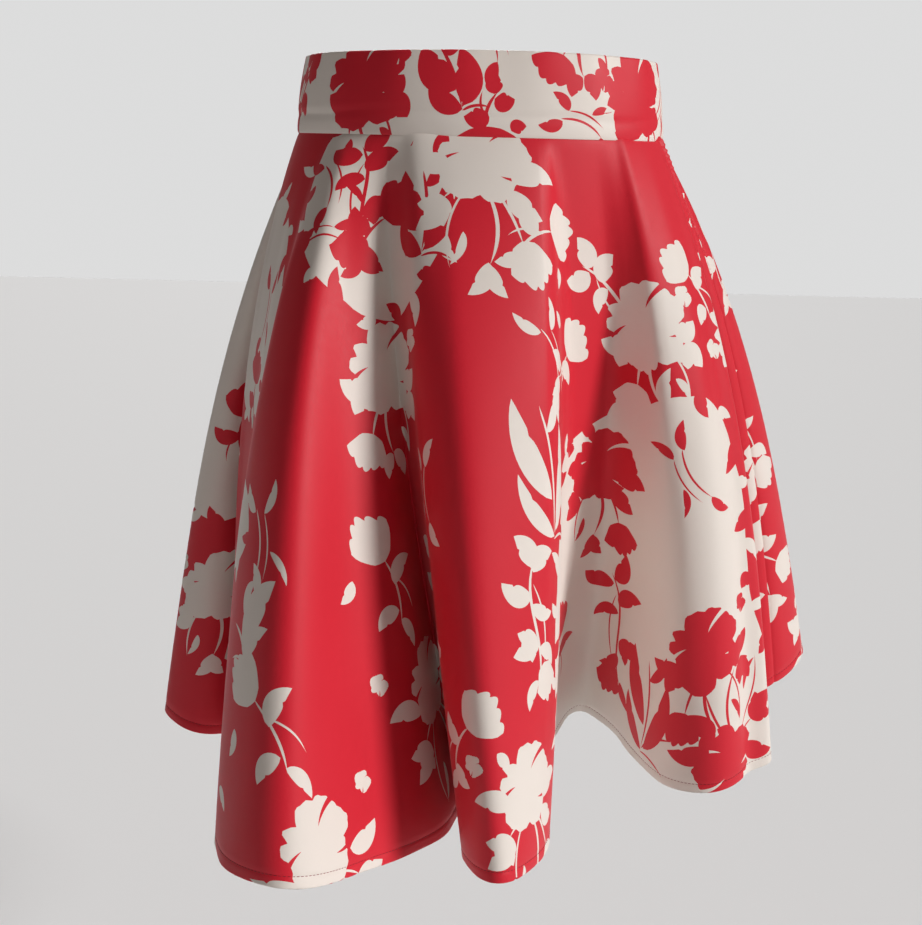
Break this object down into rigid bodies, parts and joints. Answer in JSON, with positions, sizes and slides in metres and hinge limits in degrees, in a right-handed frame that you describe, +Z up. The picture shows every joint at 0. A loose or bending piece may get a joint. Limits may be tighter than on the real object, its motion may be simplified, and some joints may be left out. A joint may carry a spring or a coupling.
{
  "type": "circle skirt",
  "caption": "Circle skirt with a folded waistband, in the form it takes when worn: soft uneven flares all round, open and hollow at the waist and the hem.",
  "frame": {"origin": "the middle of the waist opening, half-way up the waistband, where the wearer holds the skirt", "axes": "+Z up along the wearer's body, the front of the skirt faces -Y, and the wearer's left side is at +X"},
  "size_m": [0.553, 0.515, 0.5363],
  "materials": {
    "waistband": "smooth stretch satin, off-white printed with red flowers and leaves",
    "skirt_front": "smooth stretch satin, red and off-white counterchange floral print, soft broad sheen",
    "skirt_back": "smooth stretch satin, red and off-white counterchange floral print, soft broad sheen"
  },
  "bodies": {
    "root": {"waistband": "waistband", "skirt_front": "skirt_front", "skirt_back": "skirt_back"}
  },
  "joints": []
}
